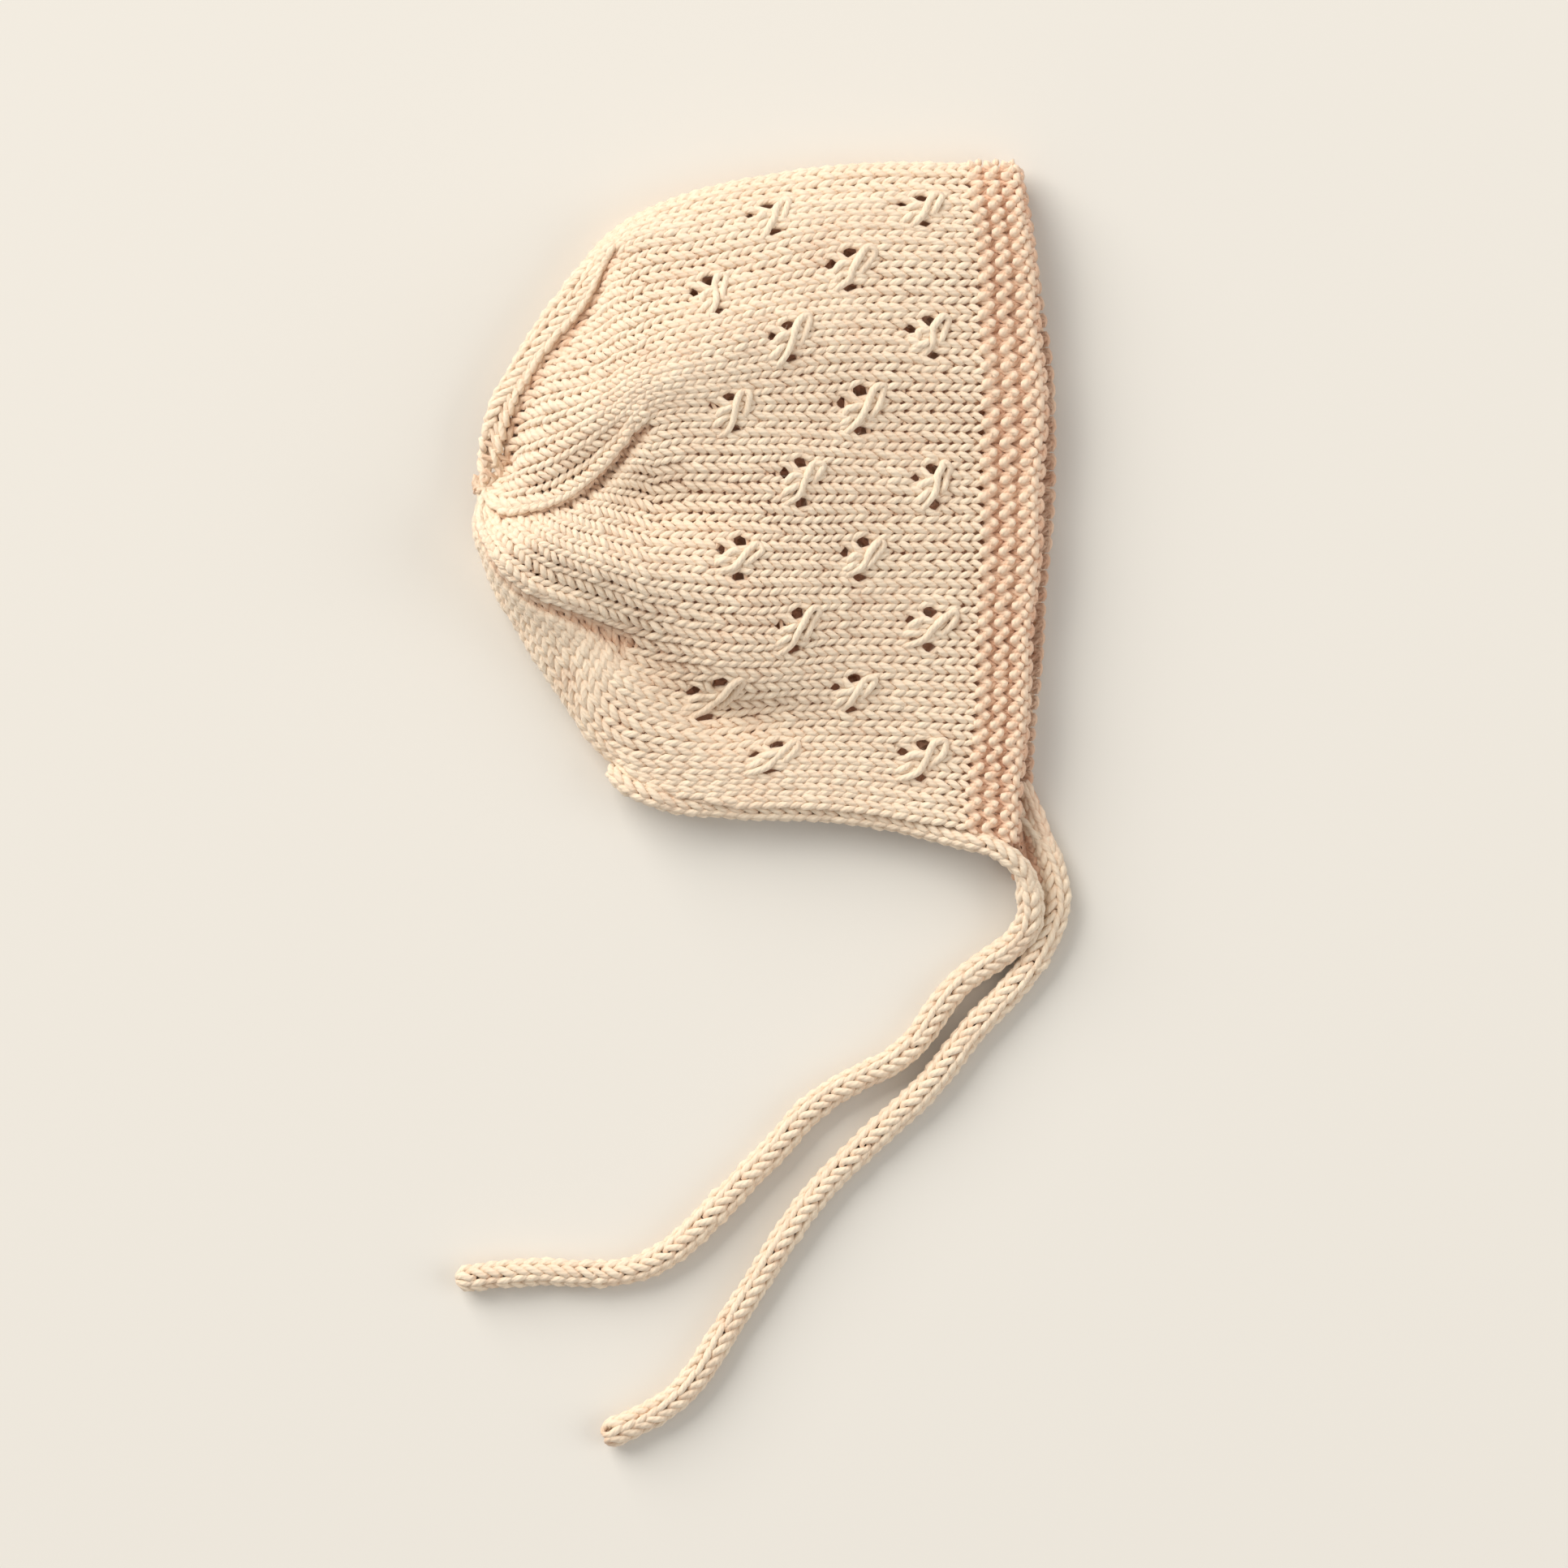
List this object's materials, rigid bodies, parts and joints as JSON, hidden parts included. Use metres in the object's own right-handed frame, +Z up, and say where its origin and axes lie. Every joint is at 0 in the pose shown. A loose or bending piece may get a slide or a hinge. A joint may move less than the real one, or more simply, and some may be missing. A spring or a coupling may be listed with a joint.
{
  "type": "knitted baby bonnet",
  "caption": "Knitted baby bonnet lying folded on its side: lace front, gathered crown, garter face band, rolled neck edging and loose knitted ties.",
  "frame": {"origin": "middle of the bonnet's underside, without the ties", "axes": "+X towards the face opening, +Y towards the top of the head, +Z up from the surface it lies on"},
  "size_m": [0.1359, 0.2854, 0.0279],
  "materials": {
    "crown_yarn": "matt cotton yarn, stockinette and lace",
    "band_yarn": "matt cotton yarn, garter stitch",
    "edging_yarn": "matt cotton yarn, rolled edge",
    "tie_yarn": "matt cotton yarn, knitted cord"
  },
  "bodies": {
    "root": {"crown": "crown_yarn", "front_band": "band_yarn", "neck_edging": "edging_yarn", "tie_upper": "tie_yarn", "tie_lower": "tie_yarn"}
  },
  "joints": []
}
